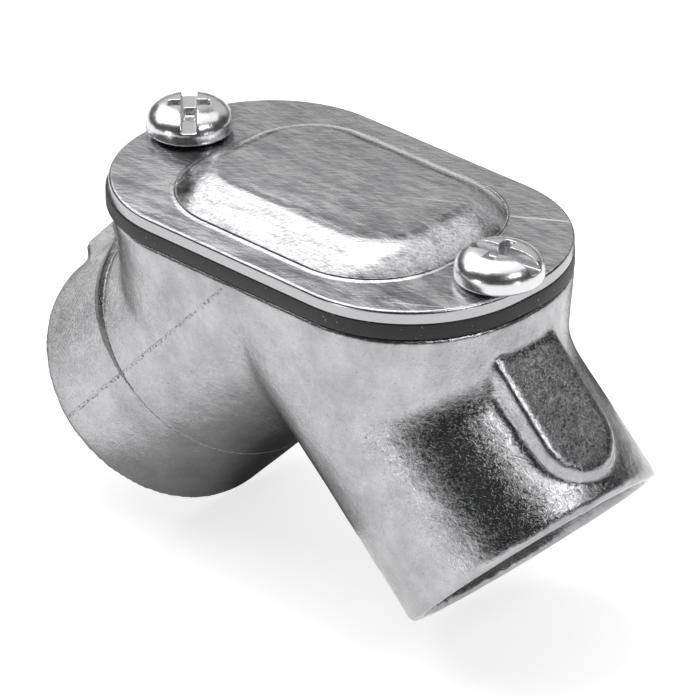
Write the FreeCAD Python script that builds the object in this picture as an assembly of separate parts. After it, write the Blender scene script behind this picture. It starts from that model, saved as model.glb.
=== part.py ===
import FreeCAD, Part
import os
from math import atan2, cos, pi, radians, sin, sqrt, tan
from FreeCAD import Rotation, Vector

# Half inch pull elbow: a zinc body with two threaded hubs at a right angle, a rubber gasket,
# a domed steel cover and two cover screws. Millimetres, +Z out of the cover, X along the cover,
# origin under the middle of the object.

# hubs, measured along a hub axis from the point where the two axes cross
hub_reach = 34.0            # crossing to the mouth
thread_root_radius = 10.67  # bore for a half inch pipe thread
hub_wall = 2.33             # outside the thread
mouth_step = 0.78           # the mouth's recess is this much wider than the thread
mouth_recess_depth = 2.0
mouth_edge_round = 0.5
mouth_ring_length = 3.0     # fully round part of the right hub
thread_inner_end = 12.0     # thread bore ends this far in from the mouth
throat_step = 3.17          # the throat's shoulder, which a conduit stops on
shoulder_length = 4.7
neck_flat = 0.45            # the neck is flattened on its upper side by twice this
neck_length = 19.0
root_inset = 0.15           # the hubs' roots lie this far inside the flange's sides
flare_length = 22.0         # in which the half width runs from the root's to the hub's
collar_length = 11.4        # step round the left hub
collar_step = 0.15

# flange that the gasket lies on
flange_half_length = 23.15
flange_half_width = 14.2
end_flat = 1.2              # half the straight part of each end
wall_draft = 4.8            # degrees
end_blend = 8.0             # flange end walls down to the hub tops
crotch_blend = 3.0          # between the hubs, underneath
blend_sink = 0.03           # sets a blend this much into the metal, so that it joins cleanly
blend_keel = 1.5            # and how far its hidden side reaches in
blend_span = 0.96           # share of the width that an end blend takes up
blend_steps = 5             # stations to each side of the middle
blend_last = 82.0           # degrees, the outermost station round a half circle

# flat pad on the upper side of each hub
pad_half_width = 4.0
pad_height = 0.85           # above the hub
pad_end_gap = 2.4           # from its rounded end to the mouth
pad_root = 15.0
pad_draft = 0.45            # wider at the foot by this much
pad_edge_break = 0.25

# cover screws
screw_inset = 2.7           # from the flange's end
screw_skew = 0.8            # the two holes lie this far off the middle line, to opposite sides
shank_radius = 2.04         # number 8 screw
thread_fit = 0.04
shank_length = 8.0
shank_tip = 0.6
hole_spare = 1.2            # depth left under a screw's tip
head_radius = 4.1
head_height = 3.0
head_band = 1.15            # height of the widest part
head_undercut = 0.3
head_edge_break = 0.15
head_seat_inset = 0.8       # the seat is this much narrower than the head
head_crown_radius = 1.3     # nearly flat top
crown_fullness = 0.9        # 1 is an elliptical crown, less is fuller
crown_step = 15             # degrees between the points of the crown
slot_width = 1.5
slot_depth = 1.35
cross_span = 4.6            # cross recess, tip to tip
cross_width = 1.05
cross_depth = 2.1
cross_taper = 0.55          # share of the span left at its bottom
left_slot_angle = -45.0
right_slot_angle = 10.0

# wire cavity
flange_wall = 2.1
cavity_end_land = 6.35      # from the flange's end
cavity_end_flat = 2.8
cavity_depth = 9.0
pocket_wall = 2.0           # round each hub's axis, behind the throat
boss_wall = 1.82
boss_floor = 1.2            # metal under the blind screw hole

# cover and gasket
gasket_thickness = 1.7
gasket_overhang = 0.45      # past the flange, at the ends only
gasket_shift = -0.45        # lies a little towards the left hub
gasket_hole_clearance = 0.3
gasket_lip = 1.2            # how far it reaches in over the cavity
cover_thickness = 1.2
cover_overhang = 0.2
cover_shift = -0.25         # its outline sits towards the left hub
cover_edge_break = 0.25
cover_hole_clearance = 0.26
dome_head_gap = 0.55        # between the dome and a screw head
dome_side_land = 2.5
dome_end_flat = 2.5
dome_height = 2.2
dome_run = 4.65             # level width of the curved border
dome_edge_angle = 10.0      # degrees by which the border meets the flat top

over = 1.0                  # how far a cutting shape passes the face it cuts
near = 1e-3                 # an edge this close to a level lies in it
search_rounds = 20
lowering = sqrt(0.5)        # a hub points as far down as out: its drop, and its reach, per unit of length

hub_radius = thread_root_radius + hub_wall
mouth_recess_radius = thread_root_radius + mouth_step
throat_radius = thread_root_radius - throat_step
pocket_radius = hub_radius - pocket_wall
neck_run_out = hub_reach - mouth_ring_length
pad_tip = hub_reach - pad_end_gap
root_flare = flange_half_width - root_inset - hub_radius
flange_corner = flange_half_width - end_flat
cavity_half_length = flange_half_length - cavity_end_land
cavity_half_width = flange_half_width - flange_wall
cavity_corner = cavity_half_width - cavity_end_flat
screw_x = flange_half_length - screw_inset
hole_radius = shank_radius + thread_fit
hole_depth = shank_length - cover_thickness - gasket_thickness + hole_spare
boss_radius = hole_radius + boss_wall
head_seat_radius = head_radius - head_seat_inset
gasket_half_length = flange_half_length + gasket_overhang
cover_half_length = flange_half_length + cover_overhang
dome_half_length = screw_x - head_radius - dome_head_gap
dome_half_width = flange_half_width - dome_side_land
dome_corner = dome_half_width - dome_end_flat

# the rounded lower corner of a mouth is what comes nearest to the ground
flange_z = lowering * (hub_reach + hub_radius) - mouth_edge_round * (sqrt(2) - 1)
gasket_z = flange_z + gasket_thickness
cover_z = gasket_z + cover_thickness
crossing = Vector(0, 0, flange_z)
up = Vector(0, 0, 1)


def hub_axis(side):
    return Vector(side * lowering, 0, -lowering)


def hub_outward(side):
    return Vector(side * lowering, 0, lowering)


def along_hub(shape, side):
    """Turns a shape made along +Z with +X outward onto a hub."""
    placed = shape.copy()
    frame = Rotation(hub_outward(side), Vector(0, 1, 0), hub_axis(side), "ZXY")
    placed.Placement = FreeCAD.Placement(crossing, frame)
    return placed


def rounded_outline(half_length, half_width, corner, z, shift=0.0):
    """Closed wire of four straight sides and four quarter arcs at one height."""
    flat_x, flat_y = half_length - corner, half_width - corner
    edges, last = [], None
    for quarter, (sx, sy) in enumerate(((1, 1), (-1, 1), (-1, -1), (1, -1))):
        middle = Vector(shift + sx * flat_x, sy * flat_y, z)
        rim = [middle + corner * Vector(cos(a), sin(a), 0)
               for a in (quarter * pi / 2, quarter * pi / 2 + pi / 4, quarter * pi / 2 + pi / 2)]
        if last is not None:
            edges.append(Part.makeLine(last, rim[0]))
        else:
            first = rim[0]
        edges.append(Part.Arc(*rim).toShape())
        last = rim[2]
    edges.append(Part.makeLine(last, first))
    return Part.Wire(edges)


def rounded_block(half_length, half_width, corner, z, height, shift=0.0):
    wire = rounded_outline(half_length, half_width, corner, z, shift)
    return Part.Face(wire).extrude(Vector(0, 0, height))


def tapered_block(half_length, half_width, corner, z, depth):
    """Rounded block that narrows downwards by the casting's draft."""
    inset = depth * tan(radians(wall_draft))
    top = rounded_outline(half_length, half_width, corner, z)
    bottom = rounded_outline(half_length - inset, half_width - inset, corner - inset, z - depth)
    return Part.makeLoft([top, bottom], True)


def turned(points):
    """Solid of revolution about Z from radius and height pairs."""
    wire = Part.makePolygon([Vector(r, 0, z) for r, z in points + points[:1]])
    return Part.Face(wire).revolve(Vector(), up, 360)


def half_width(u):
    """Half width of a hub at a distance from the crossing."""
    return hub_radius + root_flare * max(0.0, 1 - u / flare_length)


def oval(half_y, half_x, centre_x, z):
    if half_y > half_x:
        ring = Part.Ellipse(Vector(half_y, 0, z), Vector(0, half_x, z), Vector(0, 0, z)).toShape()
    else:
        ring = Part.Circle(Vector(0, 0, z), up, half_x).toShape()
    ring.rotate(Vector(), up, 90)
    ring.translate(Vector(centre_x, 0, 0))
    return Part.Wire([ring])


def hub_outside(side):
    """Neck, flattened on its upper side, and the round end with the mouth. The left hub's round
    end starts in a step."""
    step = collar_step if side < 0 else 0.0
    start = hub_reach - collar_length if side < 0 else neck_run_out
    low, even = hub_radius - neck_flat, hub_radius - step
    ovals = [oval(half_width(u), low, -neck_flat, u) for u in (0, neck_length)]
    ovals.append(oval(even, even, 0, neck_run_out))
    neck = Part.makeLoft(ovals, True, True)
    shy = mouth_edge_round * (1 - sqrt(0.5))
    tube = turned([(0, start), (hub_radius, start), (hub_radius, hub_reach - mouth_edge_round),
                   (hub_radius - shy, hub_reach - shy), (hub_radius - mouth_edge_round, hub_reach),
                   (0, hub_reach)])
    hub = along_hub(neck.fuse(tube), side)
    size = 2 * hub_reach
    own_half = Part.makeBox(size, 2 * size, size, Vector(min(0, side * size), -size, flange_z - size))
    return hub.common(own_half)


def blend(stations, first, second, radius):
    """Fills the hollow corner through the stations, pairs of a point and a share of the radius,
    between sides that leave it along first and second. It fades with the shares."""
    half = first.getAngle(second) / 2
    out = (first + second).normalize()
    sections = []
    for point, share in stations:
        r = radius * share
        corner = point - out * blend_sink
        start, end = corner + first * (r / tan(half)), corner + second * (r / tan(half))
        middle = corner + out * (r / sin(half) - r)
        keel = corner - out * blend_keel
        arc = Part.Arc(start, middle, end).toShape()
        sections.append(Part.Wire([arc, Part.makeLine(end, keel), Part.makeLine(keel, start)]))
    return Part.makeLoft(sections, True, False)


def spread(limit):
    """Stations across the width and their shares, closer together near the sides."""
    angles = [radians(blend_last) * step / blend_steps for step in range(-blend_steps, blend_steps + 1)]
    return [(limit * sin(angle), cos(angle)) for angle in angles]


def skin_height(y, u, upper):
    """Distance from a hub's axis up or down to the neck's skin, at y from the middle."""
    rise = (hub_radius - neck_flat) * sqrt(max(0.0, 1 - (y / half_width(u)) ** 2))
    return rise - neck_flat if upper else rise + neck_flat


def crotch_fill():
    stations = []
    for y, share in spread(hub_radius):
        depth = hub_radius
        for step in range(search_rounds):
            depth = skin_height(y, depth, False)
        stations.append((crossing + Vector(0, y, -sqrt(2) * depth), share))
    return blend(stations, hub_axis(-1), hub_axis(1), crotch_blend)


def end_fill(side):
    """Blend from the drafted end wall of the flange out onto the top of a hub."""
    middle_x = flange_half_length - flange_corner
    lower_half_width = flange_half_width - flange_half_length / 2 * tan(radians(wall_draft))
    stations = []
    for y, share in spread(blend_span * min(hub_radius, lower_half_width)):
        drop = 0.0
        for step in range(search_rounds):
            corner = flange_corner - drop * tan(radians(wall_draft))
            x = middle_x + sqrt(max(0.0, corner ** 2 - max(0.0, abs(y) - end_flat) ** 2))
            drop = x - sqrt(2) * skin_height(y, lowering * (x + drop), True)
        stations.append((crossing + Vector(side * x, y, -drop), share))
    rise = 2 * neck_flat / (neck_run_out - neck_length)
    return blend(stations, up, (hub_axis(side) + hub_outward(side) * rise).normalize(), end_blend)


def hub_pad(side):
    """Flat pad with a rounded end, its sides a little drafted."""
    top = hub_radius + pad_height
    foot = top - 2 * pad_height
    sections = []
    for w, grow in ((foot, pad_draft), (top, 0.0)):
        half = pad_half_width + grow
        middle = pad_tip - pad_half_width
        a, b = Vector(w, -half, pad_root), Vector(w, -half, middle)
        c, d = Vector(w, half, middle), Vector(w, half, pad_root)
        tip = Part.Arc(b, Vector(w, 0, middle + half), c).toShape()
        sections.append(Part.Wire([Part.makeLine(a, b), tip, Part.makeLine(c, d), Part.makeLine(d, a)]))
    pad = Part.makeLoft(sections, True, True)
    edges = [e for e in pad.Edges if e.BoundBox.XMin > top - near and e.BoundBox.ZMax > pad_root + over]
    return along_hub(pad.makeChamfer(pad_edge_break, edges), side)


def flange_block():
    """Drafted walls from the gasket face down to the plane of the two hub axes."""
    depth = flange_half_length + over
    block = tapered_block(flange_half_length, flange_half_width, flange_corner, flange_z, depth / 2)
    reach = 2 * flange_half_length
    roof = Part.makePolygon([crossing + v for v in (
        Vector(0, 0, 0), Vector(reach, 0, -reach), Vector(reach, 0, over), Vector(-reach, 0, over),
        Vector(-reach, 0, -reach), Vector(0, 0, 0))])
    wedge = Part.Face(roof).extrude(Vector(0, 4 * flange_half_width, 0))
    wedge.translate(Vector(0, -2 * flange_half_width, 0))
    return block.common(wedge)


def above(z):
    size = 2 * hub_reach
    return Part.makeBox(2 * size, 2 * size, size, Vector(-size, -size, z))


def below(z):
    size = 2 * hub_reach
    return Part.makeBox(2 * size, 2 * size, size, Vector(-size, -size, z - size))


def screw_places():
    return [Vector(-screw_x, screw_skew, 0), Vector(screw_x, -screw_skew, 0)]


def drilled(radius, place, low, high):
    return Part.makeCylinder(radius, high - low, place + up * low)


def cavity():
    """Space for the wires, with the two screw bosses left standing."""
    space = tapered_block(cavity_half_length, cavity_half_width, cavity_corner, flange_z, cavity_depth)
    pocket_end = hub_reach - thread_inner_end - shoulder_length
    for side in (-1, 1):
        space = space.fuse(along_hub(Part.makeCylinder(pocket_radius, pocket_end), side))
    space = space.cut(above(flange_z))
    boss_height = hole_depth + boss_floor
    for place in screw_places():
        space = space.cut(drilled(boss_radius, place, flange_z - boss_height, flange_z))
    throat = Part.makeCylinder(throat_radius, hub_reach - thread_inner_end + over)
    for side in (-1, 1):
        space = space.fuse(along_hub(throat, side).cut(above(flange_z)))
    return space


def hub_bore(side):
    thread = Part.makeCylinder(thread_root_radius, thread_inner_end + over,
                               Vector(0, 0, hub_reach - thread_inner_end))
    recess = Part.makeCylinder(mouth_recess_radius, mouth_recess_depth + over,
                               Vector(0, 0, hub_reach - mouth_recess_depth))
    return along_hub(thread.fuse(recess), side)


def conduit_body():
    body = hub_outside(1).fuse(hub_outside(-1)).removeSplitter()
    for solid in (crotch_fill(), flange_block(), end_fill(1), end_fill(-1), hub_pad(1), hub_pad(-1)):
        body = body.fuse(solid)
    body = body.removeSplitter().cut(above(flange_z))
    for space in (cavity(), hub_bore(1), hub_bore(-1)):
        body = body.cut(space)
    for place in screw_places():
        body = body.cut(drilled(hole_radius, place, flange_z - hole_depth, flange_z + over))
    return body


def dome_skin():
    """Domed block, its curved border a single arc in section that meets the flat top in an edge."""
    edge = radians(dome_edge_angle)
    foot = 2 * atan2(dome_height, dome_run) - edge
    arc_radius = dome_run / (sin(foot) - sin(edge))
    grow = arc_radius * (1 - sin(foot))
    flat = cover_z + dome_height
    top = flat + arc_radius * (1 - cos(edge))
    depth = arc_radius + over
    block = rounded_block(dome_half_length + grow, dome_half_width + grow, dome_corner + grow,
                          top - depth, depth)
    rim = [e for e in block.Edges if e.BoundBox.ZMin > top - near]
    return block.makeFillet(arc_radius, rim).cut(above(flat))


def dome_hollow():
    """Space under the dome, with plain sloping sides."""
    top = cover_z + dome_height - cover_thickness
    slope = dome_height / dome_run
    shrink = cover_thickness * (sqrt(1 + slope ** 2) - 1) / slope
    wide, narrow = shrink, dome_run - shrink
    outlines = [rounded_outline(dome_half_length - inset, dome_half_width - inset, dome_corner - inset, z)
                for inset, z in ((wide, gasket_z), (narrow, top))]
    return Part.makeLoft(outlines, True, True)


def cover_plate():
    plate = rounded_block(cover_half_length, flange_half_width, flange_corner, gasket_z, cover_thickness,
                          cover_shift)
    rim = [e for e in plate.Edges if e.BoundBox.ZMin > cover_z - near]
    plate = plate.makeChamfer(cover_edge_break, rim)
    plate = plate.fuse(dome_skin().cut(below(cover_z))).cut(dome_hollow())
    hole = shank_radius + cover_hole_clearance
    for place in screw_places():
        plate = plate.cut(drilled(hole, place, gasket_z - over, cover_z + over))
    return plate.removeSplitter()


def cover_gasket():
    ring = rounded_block(gasket_half_length, flange_half_width, flange_corner, flange_z, gasket_thickness,
                         gasket_shift)
    window = rounded_block(cavity_half_length - gasket_lip, cavity_half_width - gasket_lip,
                           cavity_corner - gasket_lip, flange_z - over, gasket_thickness + 2 * over)
    ring = ring.cut(window)
    hole = shank_radius + gasket_hole_clearance
    for place in screw_places():
        ring = ring.cut(drilled(hole, place, flange_z - over, gasket_z + over))
    return ring


def cover_screw(place, slot_angle):
    """Pan head screw with a slot and a cross recess, seated on the cover."""
    crown_height, crown_width = head_height - head_band, head_radius - head_crown_radius
    crown = [(head_crown_radius + crown_width * cos(radians(a)) ** crown_fullness,
              head_band + crown_height * sin(radians(a))) for a in range(crown_step, 91, crown_step)]
    screw = turned([(0, -shank_length), (shank_radius - shank_tip, -shank_length),
                    (shank_radius, -shank_length + shank_tip), (shank_radius, 0), (head_seat_radius, 0),
                    (head_radius - head_edge_break, head_undercut),
                    (head_radius, head_undercut + head_edge_break), (head_radius, head_band)]
                   + crown + [(0, head_height)])
    slot = Part.makeBox(4 * head_radius, slot_width, slot_depth + over,
                        Vector(-2 * head_radius, -slot_width / 2, head_height - slot_depth))
    screw = screw.cut(slot)
    high, deep = head_height + over, head_height - cross_depth
    half, low, side = cross_span / 2, cross_span / 2 * cross_taper, -cross_width / 2
    for angle in (0, 90):
        outline = [Vector(x, side, z) for x, z in
                   ((-half, high), (half, high), (low, deep), (-low, deep), (-half, high))]
        wing = Part.Face(Part.makePolygon(outline)).extrude(Vector(0, cross_width, 0))
        wing.rotate(Vector(), up, angle)
        screw = screw.cut(wing)
    screw.rotate(Vector(), up, slot_angle)
    screw.translate(place + up * cover_z)
    return screw


def main():
    os.makedirs("parts", exist_ok=True)
    left, right = screw_places()
    pieces = {
        "conduit_body": conduit_body(),
        "cover_gasket": cover_gasket(),
        "cover_plate": cover_plate(),
        "cover_screw_left": cover_screw(left, left_slot_angle),
        "cover_screw_right": cover_screw(right, right_slot_angle),
    }
    for name, shape in pieces.items():
        shape.exportStep("parts/" + name + ".step")
        box = shape.BoundBox
        print(name, shape.isValid(), len(shape.Solids), "solid", round(shape.Volume, 1), "mm3",
              [round(v, 2) for v in (box.XMin, box.YMin, box.ZMin, box.XMax, box.YMax, box.ZMax)])


main()
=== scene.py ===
import bpy
from math import atan2, cos, pi, radians, sin, sqrt
from mathutils import Matrix, Vector


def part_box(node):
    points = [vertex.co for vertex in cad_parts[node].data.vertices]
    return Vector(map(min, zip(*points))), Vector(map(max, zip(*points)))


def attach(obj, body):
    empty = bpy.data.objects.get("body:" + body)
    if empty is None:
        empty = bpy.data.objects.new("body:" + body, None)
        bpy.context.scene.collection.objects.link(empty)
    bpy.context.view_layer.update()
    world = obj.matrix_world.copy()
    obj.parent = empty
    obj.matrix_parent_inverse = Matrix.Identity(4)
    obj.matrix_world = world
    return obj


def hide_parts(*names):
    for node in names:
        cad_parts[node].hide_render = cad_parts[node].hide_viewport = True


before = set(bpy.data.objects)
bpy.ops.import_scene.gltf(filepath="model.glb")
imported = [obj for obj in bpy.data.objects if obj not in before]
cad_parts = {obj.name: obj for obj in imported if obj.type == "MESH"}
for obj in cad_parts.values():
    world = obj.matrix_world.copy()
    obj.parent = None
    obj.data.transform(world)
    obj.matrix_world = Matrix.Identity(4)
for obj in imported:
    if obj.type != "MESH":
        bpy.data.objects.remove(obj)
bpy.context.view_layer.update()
print("frame loaded")

mm = 0.001
nearly = 0.01 * mm  # two places this close count as one
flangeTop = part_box("conduit_body")[1].z  # the two hubs' axes cross at this height, over the origin
gasketLow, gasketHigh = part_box("cover_gasket")
coverLow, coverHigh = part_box("cover_plate")
screwPlaces = {"left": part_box("cover_screw_left"), "right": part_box("cover_screw_right")}
screwPlaces = {side: (low + high) / 2 for side, (low, high) in screwPlaces.items()}


def activate(piece):
    bpy.ops.object.select_all(action="DESELECT")
    piece.select_set(True)
    bpy.context.view_layer.objects.active = piece


def openMesh(piece):
    activate(piece)
    bpy.ops.object.mode_set(mode="EDIT")
    bpy.ops.mesh.select_all(action="SELECT")


def closeMesh():
    bpy.ops.object.mode_set(mode="OBJECT")


def applyModifier(piece, kind, **settings):
    activate(piece)
    modifier = piece.modifiers.new(kind.lower(), kind)
    for key, value in settings.items():
        setattr(modifier, key, value)
    bpy.ops.object.modifier_apply(modifier=modifier.name)


def settle(piece):
    activate(piece)
    bpy.ops.object.transform_apply(location=True, rotation=True, scale=True)


def joinTo(piece, other):
    activate(piece)
    other.select_set(True)
    bpy.ops.object.join()


def finishPiece(piece, material, node, body, smoothAngle=40):
    settle(piece)
    piece.data.materials.clear()
    piece.data.materials.append(material)
    bpy.ops.object.shade_smooth_by_angle(angle=radians(smoothAngle))
    if node:
        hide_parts(node)
    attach(piece, body)
    print("made", piece.name, len(piece.data.polygons), "faces")


def pickVertices(piece, test):
    bpy.ops.object.mode_set(mode="EDIT")
    bpy.ops.mesh.select_mode(type="VERT")
    bpy.ops.mesh.select_all(action="DESELECT")
    closeMesh()
    for vertex in piece.data.vertices:
        vertex.select = test(vertex.co)
    bpy.ops.object.mode_set(mode="EDIT")


def faceOutward(piece):
    openMesh(piece)
    bpy.ops.mesh.normals_make_consistent(inside=False)
    closeMesh()


def cutAway(piece, cutter):
    applyModifier(piece, "BOOLEAN", operation="DIFFERENCE", solver="EXACT", object=cutter)
    bpy.data.objects.remove(cutter)


def outline(low, high):
    return (high.x - low.x) / 2, (high.y - low.y) / 2, (high.x + low.x) / 2


def roundedPlate(name, halfLength, halfWidth, corner, z, shift=0.0, segments=24):
    bpy.ops.mesh.primitive_plane_add(size=2, location=(shift, 0, z))
    plate = bpy.context.object
    plate.name = name
    plate.scale = (halfLength, halfWidth, 1)
    settle(plate)
    openMesh(plate)
    bpy.ops.mesh.bevel(offset=corner, offset_type="OFFSET", segments=segments, affect="VERTICES")
    closeMesh()
    return plate


def thicken(plate, height):
    openMesh(plate)
    bpy.ops.mesh.extrude_region_move(TRANSFORM_OT_translate={"value": (0, 0, height)})
    closeMesh()
    faceOutward(plate)
    return plate


# turns a profile of (radius, height) points about the Z axis
def spunPiece(name, points, steps=72):
    bpy.ops.mesh.primitive_plane_add(size=mm)
    piece = bpy.context.object
    piece.name = name
    openMesh(piece)
    bpy.ops.mesh.merge(type="CENTER")
    place = Vector((0, 0, 0))
    for index, (r, z) in enumerate(points):
        step = Vector((r, 0, z)) - place
        if index:
            bpy.ops.mesh.extrude_region_move(TRANSFORM_OT_translate={"value": step})
        else:
            bpy.ops.transform.translate(value=step)
        place = Vector((r, 0, z))
    bpy.ops.mesh.select_all(action="SELECT")
    bpy.ops.mesh.spin(steps=steps, angle=2 * pi, center=(0, 0, 0), axis=(0, 0, 1))
    bpy.ops.mesh.select_all(action="SELECT")
    bpy.ops.mesh.remove_doubles(threshold=nearly / 10)
    closeMesh()
    faceOutward(piece)
    return piece


# winds a tapered section into a closed ridge about the Z axis
def threadRidge(name, look):
    bpy.ops.mesh.primitive_plane_add(size=1, rotation=(pi / 2, 0, 0))
    ridge = bpy.context.object
    ridge.name = name
    base, crest = look["baseRadius"], look["crestRadius"]
    ridge.location.x = (base + crest) / 2
    ridge.scale = (abs(base - crest), look["baseWidth"], 1)
    settle(ridge)
    pickVertices(ridge, lambda co: abs(co.x - crest) < nearly)
    flank = look["crestWidth"] / look["baseWidth"]
    bpy.ops.transform.resize(value=(1, 1, flank), center_override=(crest, 0, 0))
    bpy.ops.mesh.select_all(action="SELECT")
    bpy.ops.mesh.delete(type="ONLY_FACE")
    closeMesh()
    turns = look["length"] / look["pitch"]
    steps = round(look["steps"] * turns)
    applyModifier(ridge, "SCREW", axis="Z", angle=2 * pi * turns, screw_offset=look["length"], iterations=1,
                  steps=steps, render_steps=steps)
    openMesh(ridge)
    bpy.ops.mesh.fill_holes(sides=4)
    closeMesh()
    faceOutward(ridge)
    return ridge


def newMaterial(name):
    material = bpy.data.materials.new(name)
    material.use_nodes = True
    tree = material.node_tree
    return material, tree, tree.nodes["Principled BSDF"]


# inputs go by their name, or by i and their number; a socket is linked and a value is set
def addNode(tree, kind, settings=None, **inputs):
    node = tree.nodes.new(kind)
    for key, value in (settings or {}).items():
        setattr(node, key, value)
    for key, value in inputs.items():
        socket = node.inputs[int(key[1:])] if key[0] == "i" and key[1:].isdigit() else node.inputs[key]
        if isinstance(value, bpy.types.NodeSocket):
            tree.links.new(value, socket)
        else:
            socket.default_value = value
    return node


def calculate(tree, operation, *values):
    inputs = {"i" + str(index): value for index, value in enumerate(values)}
    return addNode(tree, "ShaderNodeMath", {"operation": operation}, **inputs).outputs[0]


def spread(tree, value, low, high, toLow, toHigh):
    node = addNode(tree, "ShaderNodeMapRange", Value=value)
    node.inputs["From Min"].default_value, node.inputs["From Max"].default_value = low, high
    node.inputs["To Min"].default_value, node.inputs["To Max"].default_value = toLow, toHigh
    return node.outputs[0]


def spreadNoise(tree, noise, toLow, toHigh):
    return spread(tree, noise, 0.3, 0.7, toLow, toHigh)  # most of a noise's values lie in this range


def mixTone(tree, share, first, second):
    return addNode(tree, "ShaderNodeMix", {"data_type": "RGBA"}, i0=share, i6=first, i7=second).outputs[2]


def noiseOf(tree, place, look, kind="FBM"):
    return addNode(tree, "ShaderNodeTexNoise", {"noise_type": kind}, Vector=place, **look).outputs["Fac"]


def strokes(tree, place, angle, stretch, look):
    turned = addNode(tree, "ShaderNodeMapping", {"vector_type": "TEXTURE"}, Vector=place)
    turned.inputs["Rotation"].default_value = (0, 0, radians(angle))
    turned.inputs["Scale"].default_value = (stretch, 1, 1)
    return noiseOf(tree, turned.outputs[0], look)


def distanceAlong(tree, place, direction):
    return addNode(tree, "ShaderNodeVectorMath", {"operation": "DOT_PRODUCT"}, i0=place,
                   i1=direction.normalized()).outputs["Value"]


def axisOf(tree, place, axis):
    return addNode(tree, "ShaderNodeSeparateXYZ", i0=place).outputs[axis]


def bumped(tree, height, distance, normal=None, strength=1.0):
    node = addNode(tree, "ShaderNodeBump", Height=height, Strength=strength, Distance=distance)
    if normal:
        tree.links.new(normal, node.inputs["Normal"])
    return node.outputs["Normal"]


print("helpers ready")

# The marks are the step of the left hub's collar, a painted shadow of that step as a dark crescent, and the
# mould's parting line.
# They are placed along the hub's axis and across it, from the point where the two axes cross.
casting = {
    "weld": 0.002 * mm, "voxel": 0.4 * mm, "smoothing": 4, "ripple": 0.05 * mm, "rippleSize": 2.4 * mm,
    "finish": {
        "grain": {"Scale": 3800.0, "Detail": 3.0, "Roughness": 0.6, "Distortion": 2.5},
        "flecks": {"Scale": 1500.0, "Detail": 2.0, "Distortion": 0.6},
        "waves": {"Scale": 900.0, "Detail": 2.0},
        "stains": {"Scale": 260.0, "Detail": 5.0, "Roughness": 0.65},
        "specks": {"Scale": 3200.0, "Detail": 2.0, "Roughness": 0.7},
        "grainHeight": 0.03 * mm, "fleckHeight": 0.026 * mm, "waveHeight": 0.04 * mm,
        "stainFrom": 0.35, "stainTo": 0.7, "speckFrom": 0.66, "speckTo": 0.72, "speckTone": 0.6,
        "grainTone": 0.8, "darkTone": (0.37, 0.37, 0.38, 1), "lightTone": (0.53, 0.53, 0.54, 1),
        "roughLow": 0.05, "roughHigh": 0.17},
    "marks": {
        "collarAt": 22.3 * mm, "collarWidth": 0.1 * mm, "collarHeight": 0.1 * mm, "lineWidth": 0.05 * mm,
        "paintedStepShadowWidth": 0.7 * mm, "paintedStepShadowFrom": -2 * mm, "paintedStepShadowTo": 8 * mm, "paintedStepShadowFade": 3 * mm,
        "partingAt": 0.3 * mm, "partingFrom": 1.5 * mm, "partingWidth": 0.22 * mm,
        "partingHeight": 0.05 * mm, "pitWidth": 0.176 * mm, "pitFrom": 0.56, "wander": 0.08 * mm,
        "shadowAndPitDarkness": 0.62}}


# gives the height of the marks, and how much the painted shadow of the collar step and the parting line's
# pits darken the colour
def castSeams(tree, place, noise, marks):
    crossing = flangeTop * sqrt(0.5)
    along = calculate(tree, "ADD", distanceAlong(tree, place, Vector((-1, 0, -1))), crossing)
    across = calculate(tree, "SUBTRACT", distanceAlong(tree, place, Vector((-1, 0, 1))), crossing)
    wander = spreadNoise(tree, noise, -marks["wander"], marks["wander"])

    fromCollar = calculate(tree, "ADD", calculate(tree, "SUBTRACT", along, marks["collarAt"]), wander)
    collar = spread(tree, fromCollar, -marks["collarWidth"], marks["collarWidth"], 0, marks["collarHeight"])
    # painted shadow of the collar step: a thin dark line at one end that widens into a crescent, kept to the
    # near side
    reach = spread(tree, across, marks["paintedStepShadowFrom"], marks["paintedStepShadowTo"], marks["lineWidth"],
                   marks["paintedStepShadowWidth"])
    nearSide = spread(tree, axisOf(tree, place, "Y"), -marks["paintedStepShadowFade"], 0, 1, 0)
    reach = calculate(tree, "MULTIPLY", reach, nearSide)
    fromPaintedStepShadow = calculate(tree, "ABSOLUTE", calculate(tree, "SUBTRACT", fromCollar, reach))
    paintedStepShadow = calculate(tree, "LESS_THAN", fromPaintedStepShadow, reach)

    onHub = calculate(tree, "GREATER_THAN", along, marks["partingFrom"])
    fromParting = calculate(tree, "ADD", calculate(tree, "SUBTRACT", across, marks["partingAt"]), wander)
    fromParting = calculate(tree, "ABSOLUTE", fromParting)
    parting = spread(tree, fromParting, 0, marks["partingWidth"], marks["partingHeight"], 0)
    parting = calculate(tree, "MULTIPLY", parting, onHub)
    onLine = calculate(tree, "LESS_THAN", fromParting, marks["pitWidth"])
    pits = calculate(tree, "MULTIPLY", onLine, calculate(tree, "GREATER_THAN", noise, marks["pitFrom"]))
    pits = calculate(tree, "MULTIPLY", pits, onHub)

    # the painted step shadow and the real pits darken the colour by this share
    dark = calculate(tree, "MULTIPLY", calculate(tree, "MAXIMUM", paintedStepShadow, pits), marks["shadowAndPitDarkness"])
    return calculate(tree, "ADD", collar, parting), dark


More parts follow.
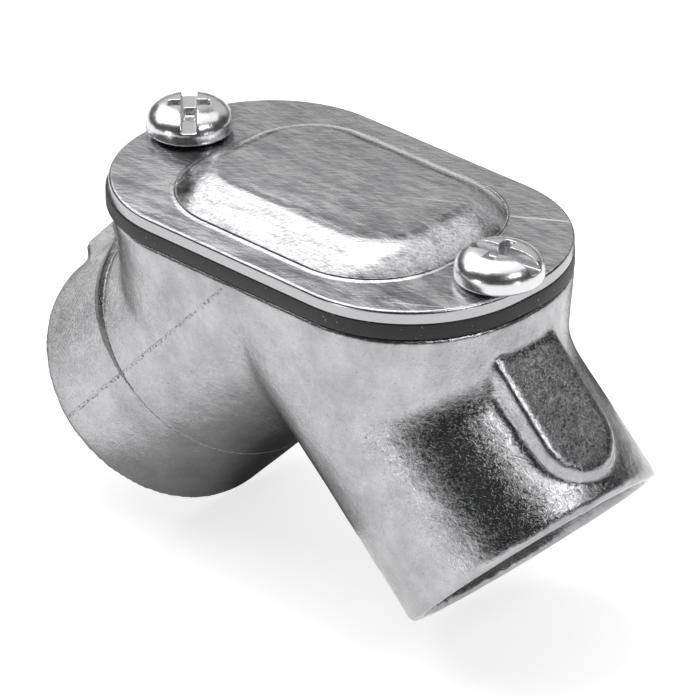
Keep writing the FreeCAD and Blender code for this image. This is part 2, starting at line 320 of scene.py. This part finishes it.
def castZinc(name, look, marks):
    material, tree, shader = newMaterial(name)
    place = addNode(tree, "ShaderNodeTexCoord").outputs["Object"]
    grain = noiseOf(tree, place, look["grain"])
    flecks = noiseOf(tree, place, look["flecks"], "RIDGED_MULTIFRACTAL")
    waves = noiseOf(tree, place, look["waves"])
    stains = noiseOf(tree, place, look["stains"])
    specks = noiseOf(tree, place, look["specks"])
    step, dark = castSeams(tree, place, specks, marks)

    stained = spread(tree, stains, look["stainFrom"], look["stainTo"], 0, 1)
    tone = mixTone(tree, stained, look["lightTone"], look["darkTone"])
    speckled = spread(tree, specks, look["speckFrom"], look["speckTo"], 1, look["speckTone"])
    grained = spreadNoise(tree, grain, look["grainTone"], 1)
    shade = calculate(tree, "MULTIPLY", speckled, grained)
    # the painted shadow of the collar step and the parting line's pits darken the colour
    shade = calculate(tree, "MULTIPLY", shade, calculate(tree, "SUBTRACT", 1.0, dark))
    tone = addNode(tree, "ShaderNodeVectorMath", {"operation": "SCALE"}, i0=tone, Scale=shade)
    tree.links.new(tone.outputs[0], shader.inputs["Base Color"])
    shader.inputs["Metallic"].default_value = 1.0
    rough = spreadNoise(tree, waves, look["roughLow"], look["roughHigh"])
    tree.links.new(rough, shader.inputs["Roughness"])

    normal = bumped(tree, waves, look["waveHeight"])
    normal = bumped(tree, grain, look["grainHeight"], normal)
    normal = bumped(tree, flecks, look["fleckHeight"], normal)
    normal = bumped(tree, step, 1.0, normal)  # the step is in metres already
    tree.links.new(normal, shader.inputs["Normal"])
    return material


def castingSkin(look):
    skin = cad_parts["conduit_body"].copy()
    skin.data = skin.data.copy()
    skin.name = "castingSkin"
    bpy.context.collection.objects.link(skin)
    skin.parent = None
    skin.matrix_world = Matrix.Identity(4)
    applyModifier(skin, "WELD", merge_threshold=look["weld"])
    applyModifier(skin, "REMESH", mode="VOXEL", voxel_size=look["voxel"])
    applyModifier(skin, "SMOOTH", factor=0.5, iterations=look["smoothing"])
    texture = bpy.data.textures.new("castingRipple", "CLOUDS")
    texture.noise_scale = look["rippleSize"]
    applyModifier(skin, "DISPLACE", texture=texture, texture_coords="LOCAL", strength=look["ripple"],
                  mid_level=0.5)
    finishPiece(skin, zinc, "conduit_body", "casting", smoothAngle=180)


zinc = castZinc("castZinc", casting["finish"], casting["marks"])
castingSkin(casting)

hubThread = {
    "baseRadius": 10.8 * mm, "crestRadius": 9.6 * mm, "baseWidth": 1.75 * mm, "crestWidth": 0.3 * mm,
    "pitch": 1.814 * mm, "length": 9.0 * mm, "steps": 72, "start": 22.4 * mm}


def hubThreads(look):
    for side, name in ((-1, "hubThreadLeft"), (1, "hubThreadRight")):
        ridge = threadRidge(name, look)
        axis = Vector((side, 0, -1)).normalized()
        outward = Vector((side, 0, 1)).normalized()
        turn = Matrix((outward, axis.cross(outward), axis)).transposed()
        place = Vector((0, 0, flangeTop)) + axis * look["start"]
        ridge.matrix_world = Matrix.LocRotScale(place, turn, None)
        finishPiece(ridge, zinc, None, "casting", smoothAngle=30)


hubThreads(hubThread)

gasket = {
    "endFlat": 1.2 * mm, "roundEdge": 0.25 * mm, "windowHalfLength": 15.6 * mm,
    "windowHalfWidth": 10.9 * mm, "windowCorner": 8.1 * mm, "holeRadius": 2.34 * mm,
    "finish": {
        "skin": {"Scale": 2500.0, "Detail": 4.0}, "skinHeight": 0.03 * mm,
        "dust": {"Scale": 2600.0, "Detail": 2.0, "Roughness": 0.7}, "dustFrom": 0.69, "dustTo": 0.72,
        "tone": (0.012, 0.012, 0.012, 1), "dustTone": (0.45, 0.45, 0.45, 1), "rough": 0.5}}


def blackRubber(name, look):
    material, tree, shader = newMaterial(name)
    place = addNode(tree, "ShaderNodeTexCoord").outputs["Object"]
    skin = noiseOf(tree, place, look["skin"])
    dust = noiseOf(tree, place, look["dust"])
    dusty = spread(tree, dust, look["dustFrom"], look["dustTo"], 0, 1)
    tree.links.new(mixTone(tree, dusty, look["tone"], look["dustTone"]), shader.inputs["Base Color"])
    shader.inputs["Roughness"].default_value = look["rough"]
    tree.links.new(bumped(tree, skin, look["skinHeight"]), shader.inputs["Normal"])
    return material


def drillScrewHoles(piece, radius, middle):
    for place in screwPlaces.values():
        bpy.ops.mesh.primitive_cylinder_add(vertices=48, radius=radius, depth=10 * mm,
                                            location=(place.x, place.y, middle))
        cutAway(piece, bpy.context.object)


def gasketSkin(look):
    halfLength, halfWidth, shift = outline(gasketLow, gasketHigh)
    height = gasketHigh.z - gasketLow.z
    ring = roundedPlate("gasketSkin", halfLength, halfWidth, halfWidth - look["endFlat"], gasketLow.z, shift)
    thicken(ring, height)
    applyModifier(ring, "BEVEL", width=look["roundEdge"], segments=4, limit_method="ANGLE",
                  angle_limit=radians(60))
    window = roundedPlate("window", look["windowHalfLength"], look["windowHalfWidth"], look["windowCorner"],
                          gasketLow.z - height)
    cutAway(ring, thicken(window, 3 * height))
    drillScrewHoles(ring, look["holeRadius"], gasketLow.z)
    finishPiece(ring, rubber, "cover_gasket", "casting")


rubber = blackRubber("gasketRubber", gasket["finish"])
gasketSkin(gasket)

# The finish has two lays of fine brushed lines, smears and a few long scratches. The lines begin
# at the rim's rounded edge, so the wall below it stays plain.
cover = {
    "thickness": 1.2 * mm, "endFlat": 1.2 * mm, "edgeRound": 0.32 * mm, "holeRadius": 2.3 * mm,
    "domeHalfLength": 15.8 * mm, "domeHalfWidth": 11.7 * mm, "domeCorner": 9.2 * mm, "domeRun": 4.65 * mm,
    "topAngle": 10.0, "arcSteps": 12, "creaseRun": 0.5 * mm, "creaseRise": 0.26 * mm,
    "creaseAngles": (0, 30, 60, 90), "dipRun": 1.25, "dipRise": 0.92,
    "finish": {
        "lineAngle": 3.0, "crossAngle": 42.0, "lineStretch": 10.0,
        "lines": {"Scale": 6500.0, "Detail": 3.0, "Roughness": 0.65},
        "crossLines": {"Scale": 5200.0, "Detail": 2.0, "Roughness": 0.65},
        "smearStretch": 5.0,
        "smears": {"Scale": 900.0, "Detail": 4.0, "Roughness": 0.65},
        "scratchAngle": 32.0, "scratchStretch": 30.0,
        "scratches": {"Scale": 1400.0, "Detail": 1.0, "Roughness": 0.65},
        "lineHeight": 0.008 * mm, "smearHeight": 0.012 * mm, "scratchFrom": 0.72, "scratchTo": 0.75,
        "contrast": 0.28, "darkTone": (0.26, 0.26, 0.27, 1), "lightTone": (0.64, 0.64, 0.65, 1),
        "scratchTone": (0.95, 0.95, 0.95, 1), "roughLow": 0.14, "roughHigh": 0.34,
        "brushedFrom": -0.19 * mm, "brushedTo": -0.06 * mm}}
coverTop = gasketHigh.z + cover["thickness"]  # top of the flat rim


def brushedSteel(name, look):
    material, tree, shader = newMaterial(name)
    place = addNode(tree, "ShaderNodeTexCoord").outputs["Object"]
    lines = strokes(tree, place, look["lineAngle"], look["lineStretch"], look["lines"])
    crossLines = strokes(tree, place, look["crossAngle"], look["lineStretch"], look["crossLines"])
    smears = strokes(tree, place, look["lineAngle"], look["smearStretch"], look["smears"])
    scratches = strokes(tree, place, look["scratchAngle"], look["scratchStretch"], look["scratches"])
    brushed = spread(tree, axisOf(tree, place, "Z"), coverTop + look["brushedFrom"],
                     coverTop + look["brushedTo"], 0, 1)
    lines = calculate(tree, "SUBTRACT", calculate(tree, "ADD", lines, crossLines), 1.0)
    lines = calculate(tree, "MULTIPLY", lines, brushed)
    clouds = calculate(tree, "MULTIPLY", calculate(tree, "SUBTRACT", smears, 0.5), brushed)

    mottle = calculate(tree, "ADD", lines, clouds)
    mottle = spread(tree, mottle, -look["contrast"], look["contrast"], 0, 1)
    tone = mixTone(tree, mottle, look["darkTone"], look["lightTone"])
    scratches = calculate(tree, "MULTIPLY", scratches, brushed)
    scratched = spread(tree, scratches, look["scratchFrom"], look["scratchTo"], 0, 1)
    tree.links.new(mixTone(tree, scratched, tone, look["scratchTone"]), shader.inputs["Base Color"])
    shader.inputs["Metallic"].default_value = 1.0
    rough = spreadNoise(tree, smears, look["roughLow"], look["roughHigh"])
    tree.links.new(rough, shader.inputs["Roughness"])
    normal = bumped(tree, smears, look["smearHeight"])
    normal = bumped(tree, lines, look["lineHeight"], normal)
    tree.links.new(normal, shader.inputs["Normal"])
    return material


# (distance inward, height) points from the crease at the dome's foot to its flat top
def domeProfile(look):
    crease, foot = look["creaseRun"], look["creaseRise"]
    points = [(crease * sin(radians(a)), foot * (1 - cos(radians(a)))) for a in look["creaseAngles"]]
    start, low = crease * look["dipRun"], foot * look["dipRise"]
    points.append((start, low))
    run, rise = look["domeRun"] - start, coverHigh.z - coverTop - low
    top = radians(look["topAngle"])
    bottom = 2 * atan2(rise, run) - top
    radius = run / (sin(bottom) - sin(top))
    for step in range(1, look["arcSteps"] + 1):
        angle = bottom + (top - bottom) * step / look["arcSteps"]
        points.append((start + radius * (sin(bottom) - sin(angle)),
                       low + radius * (cos(angle) - cos(bottom))))
    return points


# the hollow under the dome, with the sheet's thickness kept on the slope
def hollowProfile(look):
    rise = coverHigh.z - coverTop
    slope = rise / look["domeRun"]
    shrink = look["thickness"] * (sqrt(1 + slope ** 2) - 1) / slope
    return [(shrink, 0), (look["domeRun"] - shrink, rise)]


def joinOpenLoops(piece, flat):
    openMesh(piece)
    bpy.ops.mesh.select_mode(type="EDGE")
    bpy.ops.mesh.select_all(action="DESELECT")
    bpy.ops.mesh.select_non_manifold(extend=False)
    if flat:
        bpy.ops.mesh.fill(use_beauty=True)
    else:
        bpy.ops.mesh.bridge_edge_loops()
    closeMesh()


def domedSheet(name, look, z, profile):
    halfLength, halfWidth, shift = outline(coverLow, coverHigh)
    rim = roundedPlate(name, halfLength, halfWidth, halfWidth - look["endFlat"], z, shift)
    openMesh(rim)
    bpy.ops.mesh.delete(type="ONLY_FACE")
    closeMesh()
    start = profile[0][0]
    dome = roundedPlate("dome", look["domeHalfLength"] - start, look["domeHalfWidth"] - start,
                        look["domeCorner"] - start, z)
    openMesh(dome)
    for last, point in zip(profile, profile[1:]):
        bpy.ops.mesh.inset(thickness=point[0] - last[0], depth=point[1] - last[1], use_even_offset=True)
    closeMesh()
    joinTo(rim, dome)
    joinOpenLoops(rim, True)
    return rim


def onRimEdge(co, look):
    halfLength, halfWidth, shift = outline(coverLow, coverHigh)
    corner = halfWidth - look["endFlat"]
    alongX = max(0.0, abs(co.x - shift) - (halfLength - corner))
    alongY = max(0.0, abs(co.y) - look["endFlat"])
    return sqrt(alongX ** 2 + alongY ** 2) > corner - nearly and abs(co.z - coverTop) < nearly


def coverSkin(look):
    skin = domedSheet("coverSkin", look, coverTop, domeProfile(look))
    under = domedSheet("under", look, coverLow.z, hollowProfile(look))
    joinTo(skin, under)
    joinOpenLoops(skin, False)
    faceOutward(skin)
    drillScrewHoles(skin, look["holeRadius"], coverTop)
    pickVertices(skin, lambda co: onRimEdge(co, look))
    bpy.ops.mesh.bevel(offset=look["edgeRound"], offset_type="OFFSET", segments=4, affect="EDGES")
    closeMesh()
    finishPiece(skin, steel, "cover_plate", "cover", smoothAngle=35)


steel = brushedSteel("brushedCover", cover["finish"])
coverSkin(cover)

screw = {
    "headRadius": 4.1 * mm, "headHeight": 3.0 * mm, "band": 1.15 * mm, "bandFrom": 0.5 * mm,
    "seatRadius": 3.3 * mm, "seatEdge": 0.15 * mm, "seatRise": 0.3 * mm, "crown": 1.3 * mm,
    "fullness": 0.9, "crownStep": 6, "shankRoot": 1.72 * mm, "shankLength": 8.0 * mm,
    "tipChamfer": 0.5 * mm, "slotWidth": 1.5 * mm, "slotDepth": 1.35 * mm, "crossSpan": 4.6 * mm,
    "crossWidth": 1.05 * mm, "crossDepth": 2.1 * mm, "crossTaper": 0.55, "overshoot": 1 * mm,
    "voxel": 0.085 * mm, "smoothing": 3, "slotAngles": {"left": -45.0, "right": 10.0},
    "thread": {
        "baseRadius": 1.65 * mm, "crestRadius": 2.03 * mm, "baseWidth": 0.72 * mm,
        "crestWidth": 0.1 * mm, "pitch": 0.794 * mm, "length": 6.6 * mm, "steps": 36, "start": 0.6 * mm},
    "finish": {
        "haze": {"Scale": 1500.0, "Detail": 3.0}, "hazeHeight": 0.05 * mm, "hazeStrength": 0.5,
        "tone": (0.72, 0.72, 0.73, 1), "roughLow": 0.18, "roughHigh": 0.32}}


def zincPlating(name, look):
    material, tree, shader = newMaterial(name)
    place = addNode(tree, "ShaderNodeTexCoord").outputs["Object"]
    haze = noiseOf(tree, place, look["haze"])
    shader.inputs["Metallic"].default_value = 1.0
    shader.inputs["Base Color"].default_value = look["tone"]
    rough = spread(tree, haze, 0, 1, look["roughLow"], look["roughHigh"])
    tree.links.new(rough, shader.inputs["Roughness"])
    normal = bumped(tree, haze, look["hazeHeight"], strength=look["hazeStrength"])
    tree.links.new(normal, shader.inputs["Normal"])
    return material


def headCutter(look, width, span, depth, taper, angle):
    middle = look["headHeight"] - depth / 2
    bpy.ops.mesh.primitive_cube_add(size=1, location=(0, 0, middle + look["overshoot"] / 2))
    cutter = bpy.context.object
    cutter.scale = (span, width, depth + look["overshoot"])
    settle(cutter)
    pickVertices(cutter, lambda co: co.z < middle)
    bpy.ops.transform.resize(value=(taper, 1, 1), center_override=(0, 0, 0))
    closeMesh()
    cutter.rotation_euler.z = angle
    settle(cutter)
    return cutter


def screwProfile(look):
    tip, chamfer, root = -look["shankLength"], look["tipChamfer"], look["shankRoot"]
    head, band, crown = look["headRadius"], look["band"], look["crown"]
    points = [(0, tip), (root - chamfer, tip), (root, tip + chamfer), (root, 0), (look["seatRadius"], 0),
              (head - look["seatEdge"], look["seatRise"]), (head, look["bandFrom"]), (head, band)]
    for angle in range(look["crownStep"], 90, look["crownStep"]):
        points.append((crown + (head - crown) * cos(radians(angle)) ** look["fullness"],
                       band + (look["headHeight"] - band) * sin(radians(angle))))
    return points + [(crown, look["headHeight"]), (0, look["headHeight"])]


def coverScrew(side, look):
    piece = spunPiece("coverScrew" + side.capitalize(), screwProfile(look))
    cutAway(piece, headCutter(look, look["slotWidth"], 4 * look["headRadius"], look["slotDepth"], 1, 0))
    for angle in (0, pi / 2):
        cutAway(piece, headCutter(look, look["crossWidth"], look["crossSpan"], look["crossDepth"],
                                  look["crossTaper"], angle))
    applyModifier(piece, "REMESH", mode="VOXEL", voxel_size=look["voxel"])
    applyModifier(piece, "SMOOTH", factor=0.5, iterations=look["smoothing"])
    thread = threadRidge("thread", look["thread"])
    thread.location.z = look["thread"]["start"] - look["shankLength"]
    joinTo(piece, thread)
    place = screwPlaces[side]
    piece.rotation_euler.z = radians(look["slotAngles"][side])
    piece.location = (place.x, place.y, coverTop)
    finishPiece(piece, plating, "cover_screw_" + side, side + "_screw",
                smoothAngle=50)


plating = zincPlating("zincPlatedScrew", screw["finish"])
for side in ("left", "right"):
    coverScrew(side, screw)

cameraPlace = {
    "azimuth": 44.58, "elevation": 29.03, "roll": -0.81, "distance": 552.1 * mm, "lens": 311.8,
    "aimRight": 1.035 * mm, "aimUp": -13.495 * mm, "aimShift": -0.3 * mm, "clipStart": 0.01, "clipEnd": 20}


def addCamera(look):
    azimuth, elevation = radians(look["azimuth"]), radians(look["elevation"])
    back = Vector((sin(azimuth) * cos(elevation), -cos(azimuth) * cos(elevation), sin(elevation)))
    turn = (-back).to_track_quat("-Z", "Y").to_matrix() @ Matrix.Rotation(radians(look["roll"]), 3, "Z")
    aim = Vector((look["aimShift"], 0, coverTop))
    aim += turn.col[0] * look["aimRight"] + turn.col[1] * look["aimUp"]
    bpy.ops.object.camera_add(location=aim + back * look["distance"], rotation=turn.to_euler())
    camera = bpy.context.object
    camera.data.lens = look["lens"]
    camera.data.clip_start, camera.data.clip_end = look["clipStart"], look["clipEnd"]
    bpy.context.scene.camera = camera


addCamera(cameraPlace)

# Each stands off in a direction that the metal mirrors, at a distance and size in metres.
lampAim = Vector((0, 0, 25 * mm))
softboxes = {
    "leftSoftbox": {"direction": (-0.52, -0.03, 0.85), "distance": 1.0, "size": (1.1, 1.15), "bright": 2.35},
    "rightSoftbox": {"direction": (0.67, 0.04, 0.74), "distance": 1.0, "size": (0.34, 0.2), "bright": 10.0},
    "topSoftbox": {"direction": (0.05, 0.3, 0.95), "distance": 1.0, "size": (0.75, 1.25), "bright": 1.2},
    "frontLamp": {"direction": (-0.2, -0.97, 0.05), "distance": 1.0, "size": (0.2, 0.3), "bright": 5.0},
    "sideLamp": {"direction": (0.97, -0.07, 0.09), "distance": 1.0, "size": (0.2, 0.2), "bright": 3.0},
    "backWall": {"direction": (-0.45, 0.75, 0.42), "distance": 1.4, "size": (1.8, 0.7), "bright": 0.6}}


def addSoftbox(name, look):
    place = lampAim + Vector(look["direction"]).normalized() * look["distance"]
    bpy.ops.object.light_add(type="AREA", location=place)
    lamp = bpy.context.object
    lamp.name = name
    lamp.data.shape = "RECTANGLE"
    lamp.data.size, lamp.data.size_y = look["size"]
    lamp.data.energy = look["bright"] * lamp.data.size * lamp.data.size_y * pi
    lamp.rotation_euler = (lampAim - place).to_track_quat("-Z", "Y").to_euler()
    lamp.visible_camera = False


for name, look in softboxes.items():
    addSoftbox(name, look)


def stagePaper(name, look):
    material, tree, shader = newMaterial(name)
    shader.inputs["Base Color"].default_value = (look["tone"], look["tone"], look["tone"], 1)
    shader.inputs["Roughness"].default_value = look["rough"]
    shader.inputs["Emission Color"].default_value = (1, 1, 1, 1)
    return material, tree, shader


# Painted shade: a dark card just above the floor shows only in the metal and stands in for the shaded floor
# under the object. A painted glow makes it paler towards its front edge.
card = {
    "place": (-45 * mm, 141 * mm, -0.1 * mm), "width": 90 * mm, "depth": 318 * mm, "tone": 0.03,
    "rough": 0.9, "paleAt": -15 * mm, "darkAt": 0, "paleGlow": 0.5, "darkGlow": 0.03}


def addDarkCard(look):
    bpy.ops.mesh.primitive_plane_add(size=1, location=look["place"])
    plane = bpy.context.object
    plane.name = "paintedFloorShadeCard"
    plane.scale = (look["width"], look["depth"], 1)
    settle(plane)
    plane.visible_camera = plane.visible_diffuse = plane.visible_shadow = False
    paper, tree, shader = stagePaper("paintedFloorShadeCardPaper", look)
    place = addNode(tree, "ShaderNodeTexCoord").outputs["Object"]
    # painted glow: pale at the card's front edge, dark behind it
    glow = spread(tree, axisOf(tree, place, "Y"), look["paleAt"], look["darkAt"], look["paleGlow"],
                  look["darkGlow"])
    tree.links.new(glow, shader.inputs["Emission Strength"])
    plane.data.materials.append(paper)


addDarkCard(card)

studio = {"floorSize": 6, "floorDrop": -0.2 * mm, "tone": 0.5, "rough": 0.9, "glow": 0.75, "skyGlow": 0.06}


# The floor and the sky glow where they are seen, and hardly light the object.
def addFloor(look):
    bpy.ops.mesh.primitive_plane_add(size=look["floorSize"], location=(0, 0, look["floorDrop"]))
    floor = bpy.context.object
    floor.name = "floor"
    paper, tree, shader = stagePaper("floorPaper", look)
    shader.inputs["Specular IOR Level"].default_value = 0.0
    ray = addNode(tree, "ShaderNodeLightPath").outputs
    seen = calculate(tree, "MAXIMUM", ray["Is Camera Ray"], ray["Is Glossy Ray"])
    seen = calculate(tree, "MAXIMUM", seen, ray["Is Transmission Ray"])
    tree.links.new(calculate(tree, "MULTIPLY", seen, look["glow"]), shader.inputs["Emission Strength"])
    floor.data.materials.append(paper)


def addSky(look):
    world = bpy.data.worlds.new("studio")
    bpy.context.scene.world = world
    world.use_nodes = True
    sky = world.node_tree.nodes["Background"]
    sky.inputs["Color"].default_value = (1, 1, 1, 1)
    seen = addNode(world.node_tree, "ShaderNodeLightPath").outputs["Is Camera Ray"]
    glow = spread(world.node_tree, seen, 0, 1, look["skyGlow"], 1)
    world.node_tree.links.new(glow, sky.inputs["Strength"])


addFloor(studio)
addSky(studio)
bpy.context.scene.view_settings.view_transform = "Standard"
print("camera, floor and lights set")
